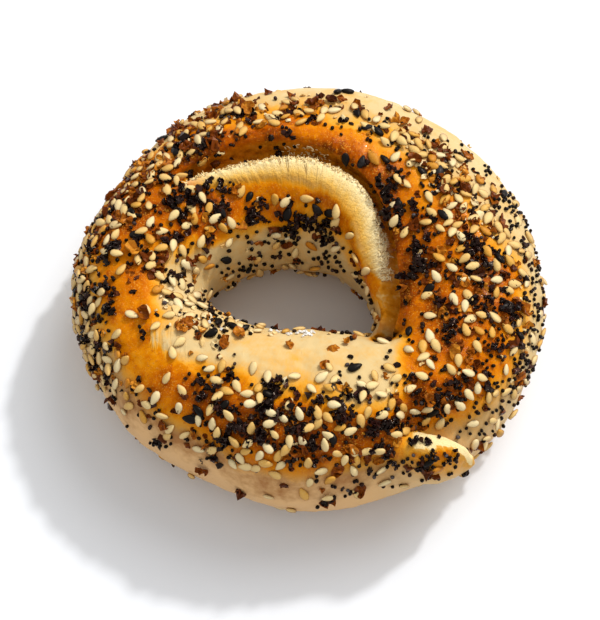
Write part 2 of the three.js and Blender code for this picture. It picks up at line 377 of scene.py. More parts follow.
# ease the corner where the tucked end grows out of the rope: between these X and
# in front of this Y, in m, each round moves a point by this share of the way to
# the mean of its neighbours
EASED_X = -0.004, 0.034
EASED_Y = -0.022
EASE_ROUNDS = 40
EASE_SHARE = 0.6
place_now = np.array([v.co for v in mesh.vertices])
ring_tree, tip_tree = tree_of(ring_points), tree_of(tip_points)
in_x = (place_now[:, 0] > EASED_X[0]) & (place_now[:, 0] < EASED_X[1])
near = np.where(in_x & (place_now[:, 1] < EASED_Y))[0]
both = np.array([max(tree.find(place_now[i])[2] for tree in (ring_tree, tip_tree)) for i in near])
hold = np.zeros(len(place_now))
hold[near] = ease((4.2 - both / MM) / 2.5) * ease((31 - place_now[near, 0] / MM) / 10)
pairs = np.array([e.vertices for e in mesh.edges])
pairs = np.concatenate([pairs, pairs[:, ::-1]])
pairs = pairs[hold[pairs[:, 0]] > 0]
share_count = np.maximum(np.bincount(pairs[:, 0], minlength=len(place_now)), 1)[:, None]
for _ in range(EASE_ROUNDS):
    mean = np.zeros_like(place_now)
    np.add.at(mean, pairs[:, 0], place_now[pairs[:, 1]])
    mean = np.where(hold[:, None] > 0, mean / share_count, place_now)
    place_now += (mean - place_now) * (hold * EASE_SHARE)[:, None]
mesh.vertices.foreach_set("co", place_now.astype(np.float32).ravel())
mesh.update()
dough_kind = {}
for key in ring_kind:
    dough_kind[key] = np.concatenate([ring_kind[key], tip_kind[key]])[nearest]
    mark(mesh, key, dough_kind[key])
mesh.polygons.foreach_set("use_smooth", np.ones(len(mesh.polygons), bool))

crust = bpy.data.materials.new("crust")
crust.use_nodes = True
nodes, links = crust.node_tree.nodes, crust.node_tree.links
bsdf = nodes["Principled BSDF"]


def node(kind, inputs=None, **settings):
    """A node in the tree that is being built; inputs are values or sockets."""
    made = nodes.new(kind)
    for key, value in settings.items():
        setattr(made, key, value)
    for key, value in (inputs or {}).items():
        if isinstance(value, bpy.types.NodeSocket):
            links.new(value, made.inputs[key])
        else:
            made.inputs[key].default_value = value
    return made


def set_plain(shader, values):
    for key, value in values.items():
        shader.inputs[key].default_value = value


def ramp(factor, stops):
    made = node("ShaderNodeValToRGB", {0: factor})
    elements = made.color_ramp.elements
    while len(elements) < len(stops):
        elements.new(0.5)
    for element, (place, colour) in zip(elements, stops):
        element.position = place
        element.color = (*colour, 1)
    return made.outputs[0]


def mixed(factor, a, b, how="MIX"):
    made = nodes.new("ShaderNodeMix")
    made.data_type = "RGBA"
    made.blend_type = how
    for socket, value in ((made.inputs[0], factor), (made.inputs[6], a), (made.inputs[7], b)):
        if isinstance(value, bpy.types.NodeSocket):
            links.new(value, socket)
        else:
            socket.default_value = value if isinstance(value, float) else (*value, 1)
    return made.outputs[2]


def sums(how, a, b, c=None):
    inputs = {0: a, 1: b} if c is None else {0: a, 1: b, 2: c}
    return node("ShaderNodeMath", inputs, operation=how).outputs[0]


def times(a, b):
    return sums("MULTIPLY", a, b)


def plus(a, b):
    return sums("ADD", a, b)


def scaled(a, b, c):
    """a times b, plus c."""
    return sums("MULTIPLY_ADD", a, b, c)


def attribute(name):
    return node("ShaderNodeAttribute", attribute_name=name).outputs["Fac"]


def cloud(vector, scale, detail=3.0, rough=0.55):
    inputs = {"Vector": vector, "Scale": scale, "Detail": detail, "Roughness": rough}
    return node("ShaderNodeTexNoise", inputs).outputs["Fac"]


def slope(value, start, end, low=0.0, high=1.0):
    """Goes from low to high as the value goes from start to end."""
    inputs = {"Value": value, "From Min": start, "From Max": end, "To Min": low, "To Max": high}
    return node("ShaderNodeMapRange", inputs).outputs[0]


place = node("ShaderNodeTexCoord").outputs["Object"]
wide_cloud = cloud(place, 110.0, 4.0)
fine_cloud = cloud(place, 650.0, 3.0)
speck_cloud = cloud(place, 2100.0, 2.0)
bake = attribute("bake")
lip = attribute("lip")
across = attribute("across")
arc = attribute("arc")
strands = node("ShaderNodeCombineXYZ", {0: arc, 1: times(across, 0.2), 2: 0.0}).outputs[0]
strand_cloud = cloud(strands, 1.6, 4.0, 0.65)
split_place = node("ShaderNodeSeparateXYZ", {0: place})
height = split_place.outputs[2]
drawn = node("ShaderNodeVectorMath", {0: place, 1: (1000.0, 170.0, 300.0)}, operation="MULTIPLY").outputs[0]
drawn_cloud = cloud(drawn, 1.0, 2.0)
stretched = plus(times(attribute("pull"), 1.5), scaled(drawn_cloud, 3.4, -2.3))
stretched = node("ShaderNodeClamp", {0: stretched}).outputs[0]
unpulled = sums("SUBTRACT", 1.0, stretched)
level = scaled(times(bake, unpulled), 0.8, 0.06)
level = sums("MAXIMUM", level, slope(height, 0.014, 0.003, 0.0, 0.3))
# the bake level rises at the lip and round the toppings, where it is partly scorch and partly painted shade,
# and varies at random
for more in (
        times(lip, 0.14), times(attribute("char_and_shade"), scaled(bake, 0.17, 0.03)),
        scaled(wide_cloud, 0.75, -0.375), scaled(fine_cloud, 0.35, -0.175),
        scaled(strand_cloud, 0.2, -0.1)):
    level = plus(level, more)
skin = ramp(level, [
    (0.0, (0.58, 0.425, 0.20)),
    (0.16, (0.59, 0.375, 0.135)),
    (0.38, (0.68, 0.315, 0.03)),
    (0.58, (0.64, 0.215, 0.001)),
    (0.76, (0.50, 0.122, 0.0)),
    (0.9, (0.33, 0.06, 0.0)),
    (1.0, (0.15, 0.027, 0.0)),
])
freckles = ramp(cloud(place, 900.0, 2.0), [(0.62, (1, 1, 1)), (0.72, (0.6, 0.32, 0.1))])
skin = mixed(times(bake, 0.8), skin, mixed(1.0, skin, freckles, "MULTIPLY"))
# the side is tan and darker brown where it meets the golden crown
side = slope(height, 0.035, 0.027)
for part in (
        slope(across, 24.0, 28.0), slope(split_place.outputs[1], -0.014, -0.032),
        slope(height, 0.001, 0.008), slope(split_place.outputs[0], 0.03, 0.008, 0.35)):
    side = times(side, part)
side_tone = scaled(wide_cloud, 0.5, scaled(fine_cloud, 0.25, 0.2))
side_tone = plus(side_tone, slope(height, 0.029, 0.016, -0.16, 0.1))
side_look = ramp(side_tone, [
    (0.42, (0.36, 0.16, 0.05)),
    (0.52, (0.52, 0.29, 0.115)),
    (0.62, (0.66, 0.40, 0.18)),
])
skin = mixed(times(side, slope(bake, 0.72, 0.25)), skin, side_look)
# the underside, which lay on the baking board, is a dull even tan
skin = mixed(slope(height, 0.005, 0.0005, 0.0, 0.6), skin, (0.56, 0.31, 0.10))
# tiny blisters get specks lighter than the crust round them, painted highlights for the glints on them
blister_cloud = cloud(place, 2600.0, 1.0)
glint_tone = scaled(wide_cloud, 0.3, plus(blister_cloud, -0.15))
painted_glints = ramp(glint_tone, [(0.61, (0, 0, 0)), (0.72, (1, 1, 1))])
skin = mixed(times(times(bake, 0.6), painted_glints), skin, (0.80, 0.38, 0.045))
tear_cloud = cloud(strands, 0.55, 3.0, 0.5)
pore_cloud = cloud(place, 1500.0, 3.0, 0.7)
crumb_skin = ramp(scaled(across, 0.12, scaled(strand_cloud, 0.4, -0.2)), [
    (0.12, (0.89, 0.78, 0.50)),
    (0.34, (0.81, 0.62, 0.29)),
    (0.58, (0.75, 0.44, 0.095)),
    (0.82, (0.65, 0.26, 0.01)),
])
# cracks across the bare crumb, at uneven steps; some of them stay closed. Their dark lines are painted shade
# in the cracks
torn_at = scaled(tear_cloud, 0.6, times(arc, 0.043))
tears = node("ShaderNodeTexVoronoi", {"W": torn_at, "Randomness": 1.0},
             voronoi_dimensions="1D", feature="DISTANCE_TO_EDGE").outputs["Distance"]
closed = sums("MAXIMUM", scaled(wide_cloud, 1.1, -0.5), 0.0)
tears = plus(scaled(fine_cloud, 0.06, closed), tears)
tears = ramp(tears, [(0.03, (0.42, 0.21, 0.06)), (0.10, (1, 1, 1))])
# the crumb's pores are darkened with painted shade
pores = ramp(scaled(across, 0.055, pore_cloud), [(0.44, (0.6, 0.38, 0.16)), (0.56, (1, 1, 1))])
torn_mask = attribute("crumb")
at_back = slope(arc, 41.0, 47.0, 0.0, 0.65)
crumb_skin = mixed(at_back, mixed(0.3, crumb_skin, pores, "MULTIPLY"), tears, "MULTIPLY")
skin = mixed(torn_mask, skin, crumb_skin)
# inside the split the colour is brown, partly the crust's own and partly painted shade in the crack; it runs
# lighter towards the crumb's rim and near black in the hole's deep corners, painted shadow with some char
gap_cloud = cloud(place, 430.0, 4.0, 0.6)
gap_tone = scaled(sums("MINIMUM", across, 1.6), 0.05, gap_cloud)
corner_char_and_shadow = sums("MAXIMUM", sums("SUBTRACT", attribute("gap"), 1.0), 0.0)
gap_colour_and_shade = ramp(scaled(corner_char_and_shadow, -0.5, gap_tone), [
    (0.1, (0.012, 0.004, 0.001)), (0.36, (0.34, 0.11, 0.002)), (0.5, (0.54, 0.19, 0.005)),
    (0.62, (0.60, 0.25, 0.02)), (0.76, (0.66, 0.42, 0.14)),
])
skin = mixed(attribute("gap"), skin, gap_colour_and_shade)
links.new(skin, bsdf.inputs["Base Color"])
blisters = ramp(speck_cloud, [(0.58, (0, 0, 0)), (0.7, (1, 1, 1))])
glossy = plus(bake, scaled(blisters, 0.5, -0.1))
shine = ramp(glossy, [(0.1, (0.5,) * 3), (0.9, (0.2,) * 3)])
rough = mixed(torn_mask, shine, (0.9, 0.9, 0.9))
rough = mixed(attribute("gap"), rough, (0.95, 0.95, 0.95))
links.new(rough, bsdf.inputs["Roughness"])
glaze = times(blisters, times(bake, 0.7))
links.new(times(glaze, sums("SUBTRACT", 1.0, torn_mask)), bsdf.inputs["Coat Weight"])
set_plain(bsdf, {
    "Coat Roughness": 0.12, "Specular IOR Level": 0.1, "Specular Tint": (1, 0.6, 0.25, 1),
})
grit = plus(times(fine_cloud, 0.22), times(blisters, 0.1))
grit = plus(grit, times(strand_cloud, 0.1))
grit = times(grit, scaled(bake, 0.8, 0.3))
grit = plus(grit, times(stretched, 0.3))
torn_grit = plus(times(strand_cloud, 0.4), times(pore_cloud, 0.8))
torn_grit = plus(torn_grit, times(tears, at_back))
grit = plus(grit, times(torn_grit, torn_mask))
bump = node("ShaderNodeBump", {"Height": grit, "Strength": 0.8, "Distance": 0.0007})
links.new(bump.outputs[0], bsdf.inputs["Normal"])
mesh.materials.clear()
mesh.materials.append(crust)
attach(dough, "root")
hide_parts("bagel")

# ----------------------------------------
# Torn crumb
# The open edge of the split: soft white inner dough that tore into short
# tufts, thickest along the ragged rim of the lower layer.
# ----------------------------------------
vertex_place = np.array([v.co for v in mesh.vertices])
vertex_normal = np.array([v.normal for v in mesh.vertices])
mesh.calc_loop_triangles()
corners = np.array([t.vertices for t in mesh.loop_triangles])
areas = np.array([t.area for t in mesh.loop_triangles])
middle = vertex_place[corners].mean(1) / MM - SHIFT
plan_x, plan_y, plan_z = middle.T
face_kind = {key: values[corners].mean(1) for key, values in dough_kind.items()}
skin_tree = BVHTree.FromPolygons(
    [tuple(p) for p in vertex_place], [tuple(int(i) for i in c) for c in corners])
plan_r = np.hypot(plan_x, plan_y)
face_theta = np.arctan2(plan_y, plan_x)
face_mid = (around(OUTER_RADIUS, face_theta) + around(HOLE_RADIUS, face_theta)) / 2
face_turn = np.degrees(np.arctan2(plan_z - BELT_HEIGHT, plan_r - face_mid))
face_turn = np.where(face_turn < -90, face_turn + 360, face_turn)


def zones(base, *rows):
    """Density over the crust: rows are (degrees round the ring, degrees round the
    section, their half widths, weight)."""
    total = np.full(len(areas), float(base))
    for theta, turn, half_theta, half_turn, weight in rows:
        away = (np.degrees(face_theta) - theta + 180) % 360 - 180
        total += weight * np.exp(-((away / half_theta) ** 2 + ((face_turn - turn) / half_turn) ** 2) ** 1.4)
    return total


# the toppings keep off the underside, the split and these bare stretches
open_crust = ease((face_turn + 38) / 16) * ease((222 - face_turn) / 16) * ease((plan_z - 2.5) / 4)
split = np.clip(face_kind["crumb"] * 2.5 + face_kind["gap"] * 2, 0, 1)
bare_lip = zones(0, (78, 88, 34, 7, 1)) * (face_kind["lip"] > 0.1)
bare_gold = zones(0, (-163, 74, 32, 17, 0.95), (-38, 92, 14, 14, 0.5), (-143, 50, 13, 16, 0.75))
bare_front = zones(
    0, (-95, -8, 75, 30, 0.9), (-112, 117, 34, 21, 0.93), (-60, 112, 16, 12, 0.6), (-133, 14, 22, 20, 0.9))
bare_back = zones(0, (72, 30, 52, 26, 0.93), (-50, 20, 12, 16, 0.5), (-46, 42, 9, 14, 0.75))
bare_strip = zones(
    0, (116, 107, 12, 6, 0.95), (96, 114, 12, 7, 0.95), (76, 122, 12, 8, 0.95), (60, 131, 10, 9, 0.9))
kept = open_crust * (1 - split) * (1 - 0.9 * bare_lip)
for bare in (bare_gold, bare_front, bare_back, bare_strip):
    kept = kept * (1 - np.clip(bare, 0, 0.95))


def on_crust(theta, turn):
    """Point and normal of the crust at degrees round the ring and the section."""
    theta, v = np.radians(theta), np.radians(turn)
    r, z = section(theta, v)
    tr, tz = way_round(theta, v)
    out = Vector((tz * np.cos(theta), tz * np.sin(theta), -tr))
    start = Vector((r * np.cos(theta), r * np.sin(theta), z)) + out * (9 if turn < 120 else 6)
    hit = skin_tree.ray_cast((start + Vector(SHIFT)) * MM, -out)
    return (np.array(hit[0]), np.array(hit[1])) if hit[0] is not None else None


def strew(count, share, spacing, dice, taken=()):
    """Seeded random spots on the crust, spacing mm apart, or closer if they don't all fit."""
    weight = areas * share
    weight = weight / weight.sum()
    spots = np.array([p for p, n in taken]).reshape(-1, 3)
    mine = []
    while len(mine) < count:
        picks = dice.choice(len(areas), size=count * 2, p=weight)
        mix = dice.dirichlet((1, 1, 1), size=count * 2)[..., None]
        points = (vertex_place[corners[picks]] * mix).sum(1)
        normals = (vertex_normal[corners[picks]] * mix).sum(1)
        for point, normal in zip(points, normals):
            if len(mine) == count:
                break
            if not len(spots) or np.linalg.norm(spots - point, axis=1).min() > spacing * MM:
                spots = np.vstack([spots, point])
                mine.append((point, normal / np.linalg.norm(normal)))
        spacing *= 0.93
    return mine


def facing(normal, yaw, lean_x=0.0, lean_y=0.0):
    """Axes that lie on the crust: X along yaw, Z out of it."""
    turn = Vector((0, 0, 1)).rotation_difference(Vector(normal)).to_matrix()
    yawed = turn @ Matrix.Rotation(yaw, 3, "Z")
    return yawed @ Matrix.Rotation(lean_x, 3, "X") @ Matrix.Rotation(lean_y, 3, "Y")


def joined(name, shapes, laid, smooth=True):
    """One mesh of many small shapes; laid rows are (shape, axes, centre, size, tint)."""
    points, faces, tints, start = [], [], [], 0
    for which, axes, centre, size, tint in laid:
        corners_here, faces_here = shapes[which]
        here = (corners_here * np.asarray(size) * MM) @ np.array(axes).T + np.asarray(centre)
        points.append(here)
        faces.extend([tuple(i + start for i in face) for face in faces_here])
        tints.append(np.full(len(here), tint))
        start += len(here)
    made = bpy.data.meshes.new(name)
    made.from_pydata([tuple(p) for p in np.concatenate(points)], [], faces)
    mark(made, "tint", np.concatenate(tints))
    made.polygons.foreach_set("use_smooth", np.full(len(made.polygons), smooth))
    made.update()
    return placed(name, made)


def shaped(bm, bend):
    """Points and faces of a small mesh after bend has moved each point."""
    bm.verts.index_update()
    points = np.array([tuple(bend(v.co)) for v in bm.verts])
    faces = [tuple(v.index for v in f.verts) for f in bm.faces]
    bm.free()
    return points, faces


def finish(obj, material):
    obj.data.materials.append(material)
    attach(obj, "root")


# uneven colour that every topping shares
mottle = bpy.data.node_groups.new("mottle", "ShaderNodeTree")
for way, names in (("INPUT", ("Tint", "Scale", "Amount")), ("OUTPUT", ("Tone", "Marks"))):
    for socket_name in names:
        mottle.interface.new_socket(socket_name, in_out=way, socket_type="NodeSocketFloat")
nodes, links = mottle.nodes, mottle.links
given = node("NodeGroupInput")
marks = cloud(node("ShaderNodeTexCoord").outputs["Object"], given.outputs["Scale"], 3.0, 0.6)
away = times(scaled(marks, 2.0, -1.0), given.outputs["Amount"])
node("NodeGroupOutput", {"Tone": plus(given.outputs["Tint"], away), "Marks": marks})


def topping_look(name, stops, rim_and_shade, roughness, specular, mottle_scale, amount, height):
    """Colour runs along stops by each bit's tint; the rim colour shows where it turns away, partly the bit's
    own darker edge and partly painted shade.
    """
    global nodes, links
    look = bpy.data.materials.new(name)
    look.use_nodes = True
    nodes, links = look.node_tree.nodes, look.node_tree.links
    shader = nodes["Principled BSDF"]
    uneven = node("ShaderNodeGroup", node_tree=mottle)
    links.new(attribute("tint"), uneven.inputs["Tint"])
    set_plain(uneven, {"Scale": mottle_scale, "Amount": amount})
    # rims that turn away from the camera darken, partly painted shade
    edge = node("ShaderNodeLayerWeight", {"Blend": 0.4}).outputs["Facing"]
    colour = ramp(uneven.outputs["Tone"], stops)
    links.new(mixed(sums("POWER", edge, 1.5), colour, rim_and_shade), shader.inputs["Base Color"])
    set_plain(shader, {
        "Roughness": roughness, "Specular IOR Level": specular, "Specular Tint": (1, 0.8, 0.6, 1),
    })
    ridge = node("ShaderNodeBump", {"Height": uneven.outputs["Marks"], "Strength": 0.6, "Distance": height})
    links.new(ridge.outputs[0], shader.inputs["Normal"])
    return look


dice = np.random.RandomState(3)
bm = bmesh.new()
bmesh.ops.create_cone(bm, cap_ends=True, segments=5, radius1=0.5, radius2=0.18, depth=1)
tuft = shaped(bm, lambda co: Vector((co.z, co.x, co.y + 0.5 * co.z * co.z)))
torn_edge = np.exp(-((face_kind["across"] - 1.6) / 0.3) ** 2) * (face_kind["crumb"] > 0.1)
torn_edge = torn_edge * ease(grain(middle, 1.3, 21) * 2 + 0.7)
rim_spots = strew(1600, torn_edge * (plan_z > 12), 0.12, dice)
# some crumb is left on the wall of the split at the back
wall_spots = strew(150, zones(0, (93, 96, 9, 8, 1)) * (face_kind["gap"] > 0.5), 0.2, dice)
laid = []
for k, (point, normal) in enumerate(rim_spots + wall_spots):
    angle = math.atan2(point[1] - SHIFT[1] * MM, point[0] - SHIFT[0] * MM)
    at_back = angle > 1.2 and k < len(rim_spots)
    yaw = angle + dice.normal(0, 0.3 if at_back else 0.8)
    axes = facing(normal, yaw, dice.normal(0, 0.3), dice.normal(-0.2, 0.3))
    wide = dice.uniform(0.22, 0.42) if at_back else dice.uniform(0.3, 0.55)
    length = dice.uniform(0.8, 1.9) if at_back else dice.uniform(0.5, 1.2)
    # tufts other than those on the rim at the back keep to the lighter tints, painted light that brightens
    # the crumb at the right
    tint = dice.uniform(0, 1 if at_back else 0.6)
    laid.append((0, axes, point + normal * 0.1 * MM, (length, wide, wide * 0.7), tint))
torn_crumb = joined("torn_crumb", [tuft], laid)
soft_crumb = topping_look("soft_crumb", [
    (0.0, (0.88, 0.76, 0.48)), (0.5, (0.85, 0.67, 0.35)), (1.0, (0.78, 0.52, 0.18)),
], rim_and_shade=(0.80, 0.58, 0.24), roughness=0.9, specular=0.0, mottle_scale=1500.0, amount=0.2, height=0.0001)
finish(torn_crumb, soft_crumb)

# ----------------------------------------
# Burnt onion
# Dried minced onion that scorched in the oven: crumpled, almost black purple
# lumps that clump together, with poppy seeds caught in them.
# ----------------------------------------
# clumps: degrees round the ring and round the section, size in mm
CLUMPS = [
    (-1, 123, 5), (2, 113, 5), (10, 114, 4.5), (15, 111, 4.5), (16, 104, 4), (23, 98, 4.5), (4, 107, 4),
    (32, 112, 5), (38, 114, 5), (36, 105, 4.5), (34, 98, 4), (46, 105, 5), (51, 103, 5.5), (48, 98, 5),
    (52, 92, 4), (2, 82, 5), (7, 83, 5.5), (11, 81, 4.5), (4, 76, 5), (9, 75, 4.5), (-9, 73, 4),
    (-13, 74, 4), (-9, 58, 6), (-12, 54, 4), (-22, 93, 4.5), (-26, 91, 4), (-14, 102, 3.5), (-22, 60, 4),
    (38, 80, 3.6), (58, 78, 3.6), (98, 86, 4.5), (102, 89, 5), (70, 149, 3.6), (77, 144, 4), (74, 138, 3.2),
    (84, 136, 3.6), (90, 135, 3.2), (98, 141, 4.2), (103, 147, 4), (107, 142, 3.6), (97, 134, 3.2),
    (-169, 141, 3.6), (-164, 134, 3.4), (118, 124, 3.4), (127, 129, 4.5), (131, 131, 5), (138, 114, 4.5),
    (143, 116, 4), (132, 103, 3.6), (135, 96, 3.6), (145, 96, 5), (147, 90, 5.5), (151, 87, 5),
    (144, 101, 4), (125, 76, 4.5), (128, 75, 4), (136, 79, 4.5), (144, 75, 4.5), (78, 76, 3),
    (88.5, 76, 3.6), (108, 68, 3.6), (111, 58, 3.6), (132, 60, 4.5), (153, 98, 4), (162, 105, 5),
    (166, 101, 4), (168, 84, 5), (171, 69, 4.5), (175, 62, 4.5), (179, 117, 5), (186, 71, 3.6),
    (183, 63, 5.5), (190, 61, 4.5), (188, 44, 5), (184, 38, 4.5), (197, 38, 4.5), (202, 77, 3),
    (205, 33, 4), (192, 28, 4.5), (178, 40, 4.5), (171, 45, 4), (200, 20, 4.5), (-133, 76, 4.5),
    (-129, 73, 5), (-129, 67, 4), (-123, 66, 4.5), (-124, 87, 4), (-118, 65, 4), (-112, 59, 5.5),
    (-108, 91, 4.5), (-104, 90, 4.5), (-100, 86, 5), (-105, 78, 5.5), (-103, 72, 6), (-108, 73, 4),
    (-95, 74, 3.6), (-94, 66, 4.5), (-90, 66, 4), (-85, 84, 5), (-88, 78, 4), (-79, 75, 5), (-76, 73, 4.5),
    (-106, 56, 5), (-108, 51, 4), (-115, 52, 4), (-118, 45, 5.5), (-115, 43, 4.5), (-119, 34, 4),
    (-117, 28, 3.6), (-97, 54, 3.6), (-94, 45, 4), (-88, 45, 4), (-88, 57, 3.8), (-68, 66, 4.5),
    (-64, 64, 4.5), (-61, 62, 4), (-71, 61, 4), (-69, 50, 4.5), (-67, 44, 4.5), (-59, 46, 3.8),
    (-74, 86, 4), (-70, 85, 3.8), (-46, 66, 4.5), (-44, 63, 4), (-39, 68, 4), (-36, 67, 3.6),
    (-48, 85, 3.6), (-31, 55, 4), (-133, 15, 4), (-85, 11, 4), (-56, 37, 3), (-56, 43, 3.2), (-60, 30, 3.4),
    (-62, 55, 3.4), (-53, 30, 2.8), (-66, 36, 3.2), (-157, 127, 3.2),
]
CLUMP_SCALE = 0.86
CLUMP_LUMPS = 2
CLUMP_CHIPS = 3
dice = np.random.RandomState(23)


def tossed(normal, lean_x, lean_y):
    """Axes at a random turn on the crust, leaning by about these angles in radians."""
    return facing(normal, dice.uniform(0, TAU), dice.normal(0, lean_x), dice.normal(0, lean_y))


def tint_near(middle, spread):
    return np.clip(dice.normal(middle, spread), 0, 1)


def mostly_small(middle, spread, least, most):
    """A random length in mm: many bits are small and a few are large."""
    return float(np.clip(dice.lognormal(middle, spread), least, most))


def nearest_crust(point):
    near, out, _, _ = skin_tree.find_nearest(point)
    return np.array(near), np.array(out)


def crumpled(detail, seed, depth):
    """A lump of unit size with folds and sharp edges."""
    bm = bmesh.new()
    bmesh.ops.create_icosphere(bm, subdivisions=detail, radius=0.5)

    def fold(co):
        swell = noise.fractal(co * 2.6 + Vector((seed * 3.7, 0, seed)), 0.5, 2.1, 2)
        crease = abs(noise.noise(co * 4.8 + Vector((0, seed * 2.3, seed))))
        return co * (0.85 + depth * (0.8 * swell + 1.1 * (crease - 0.25)))
    return shaped(bm, fold)


def chip(seed, steps, crumple, jagged):
    """A thin curled chip of unit length with an angular outline."""
    bm = bmesh.new()
    bmesh.ops.create_grid(bm, x_segments=steps, y_segments=steps - 1, size=0.5)
    grown = bmesh.ops.extrude_face_region(bm, geom=bm.faces[:])
    upper = {v for v in grown["geom"] if isinstance(v, bmesh.types.BMVert)}
    for v in upper:
        v.co.z += 0.12
    bmesh.ops.recalc_face_normals(bm, faces=bm.faces)

    def curl(co):
        reach = 2 * max(abs(co.x), abs(co.y))
        side = Vector((co.x, co.y)).normalized() if reach else Vector((0, 0))
        ragged = 1 + jagged * noise.noise(Vector((side.x * 1.3, side.y * 1.3, seed * 3.1)))
        wave = noise.noise(Vector((co.x * 3.5 + 9, co.y * 3.5, seed * 1.3)))
        bend = co.x * co.x * math.sin(seed * 2.2) + co.y * co.y * math.cos(seed * 1.7) + crumple * wave
        x, y = side * reach * 0.5 * ragged
        return x, y * 0.74, co.z + bend
    return shaped(bm, curl)


lump_shapes = [crumpled(1, k, 0.9) for k in range(6)]
scorched_shapes = lump_shapes + [chip(k + 50, 4, 0.6, 0.5) for k in range(8)]
laid = []
clump_spots = []
for theta, turn, size in CLUMPS:
    size *= CLUMP_SCALE
    point, normal = on_crust(theta, turn)
    clump_spots.append((point, normal))
    out = Vector(normal)
    for k in range(CLUMP_LUMPS + CLUMP_CHIPS):
        lump = k < CLUMP_LUMPS
        off = Vector(dice.normal(0, size * 0.2, 3)) * MM
        bulk = size * (dice.uniform(0.42, 0.56) if lump else dice.uniform(0.4, 0.7))
        lean = 0.5 if lump else 0.6
        axes = tossed(normal, lean, lean)
        shape = (bulk, bulk * 0.8, bulk * 0.62) if lump else (bulk, bulk * 0.8, bulk * 0.8)
        rise = dice.uniform(0.2, 0.6) if lump else dice.uniform(0.4, 0.2 + 0.26 * size)
        centre = point + np.array(off - out * off.dot(out)) + normal * rise * MM
        which = dice.randint(6) if lump else 6 + dice.randint(8)
        laid.append((which, axes, centre, shape, tint_near(0.3, 0.22)))
share = kept * zones(
    0.1, (-8, 70, 45, 40, 1.2), (150, 72, 32, 45, 1.3), (-105, 62, 34, 24, 0.4), (-45, 60, 25, 32, 0.5),
    (190, 38, 40, 28, 1.4), (118, 62, 30, 14, 1.0), (-150, 118, 14, 12, 0.8), (100, 150, 45, 14, 0.4))
crumb_spots = strew(235, share, 1.5, dice)
for point, normal in clump_spots:
    crumb_spots.append(nearest_crust(point + dice.normal(0, 3, 3) * MM))
for point, normal in crumb_spots:
    bulk = mostly_small(0.55, 0.35, 0.9, 3.2)
    axes = tossed(normal, 0.4, 0.4)
    shape = (bulk, bulk * 0.85, bulk * 0.7)
    laid.append((dice.randint(14), axes, point + normal * 0.25 * MM, shape, tint_near(0.5, 0.28)))
burnt = joined("burnt_onion", scorched_shapes, laid, smooth=False)
scorched = topping_look("scorched", [
    (0.0, (0.004, 0.0015, 0.0015)), (0.45, (0.012, 0.004, 0.004)),
    (0.75, (0.04, 0.010, 0.007)), (1.0, (0.13, 0.028, 0.005)),
], rim_and_shade=(0.006, 0.002, 0.002), roughness=0.16, specular=0.22, mottle_scale=1500.0, amount=0.3, height=0.0003)
finish(burnt, scorched)

# ----------------------------------------
# White sesame
# Hulled seeds, drop shaped and flat, pressed into the wet dough before baking,
# so they lie along the crust. They toast from cream to straw gold.
# ----------------------------------------


def ball(segments, rings, bend):
    bm = bmesh.new()
    bmesh.ops.create_uvsphere(bm, u_segments=segments, v_segments=rings, radius=0.5)
    return shaped(bm, bend)


def drop(co):
    """A sesame seed of unit length: round behind, pointed in front, flattened."""
    narrow = (1.06 - 0.24 * (co.z + 0.5)) * (1 - 0.34 * ease((co.z - 0.02) / 0.48))
    return co.z, co.x * narrow, math.copysign(abs(co.y * 2) ** 0.8 / 2, co.y) * (0.6 + 0.4 * narrow)


# length, width and thickness in mm
WHITE_SEED = np.array([3.3, 2.1, 1.1])
dice = np.random.RandomState(7)
sesame_shape = ball(9, 6, drop)
share = kept * zones(
    0.16, (8, 78, 48, 24, 1.0), (38, 70, 18, 16, 1.3), (100, 68, 46, 9, 0.9), (138, 60, 25, 20, 1.0),
    (152, 104, 19, 20, 1.5), (160, 76, 14, 20, 1.2), (186, 34, 34, 24, 2.4), (-112, 62, 28, 24, 1.5),
    (-85, 68, 20, 22, 1.3), (-112, 36, 16, 9, 0.7), (-60, 60, 22, 36, 0.5), (100, 130, 34, 9, 0.35),
    (90, 158, 60, 12, 0.1), (-170, 116, 18, 13, 0.7), (-40, 105, 14, 20, 0.4))
share = share * (1 - np.clip(zones(0, (-95, 142, 62, 15, 1.0), (90, 166, 95, 22, 0.7)), 0, 0.97))
white_spots = strew(600, share, 2.2, dice, clump_spots[::2])
laid = []
clump_places = np.array([point for point, _ in clump_spots])
for point, normal in white_spots:
    on_clump = np.linalg.norm(clump_places - point, axis=1).min() < 2.4 * MM
    above = 1.2 if on_clump else 0.5
    axes = tossed(normal, 0.25, 0.2)
    size = WHITE_SEED * dice.normal(1, 0.08)
    tint = tint_near(0.45 if point[1] > 0 else 0.3, 0.26)
    laid.append((0, axes, point + normal * above * MM, size, tint))
sesame = joined("white_sesame", [sesame_shape], laid)
sesame_hull = topping_look("sesame_hull", [
    (0.0, (0.74, 0.60, 0.33)), (0.4, (0.70, 0.49, 0.19)),
    (0.75, (0.62, 0.32, 0.05)), (1.0, (0.48, 0.17, 0.008)),
], rim_and_shade=(0.22, 0.07, 0.005), roughness=0.45, specular=0.2, mottle_scale=2500.0, amount=0.16, height=0.00012)
finish(sesame, sesame_hull)

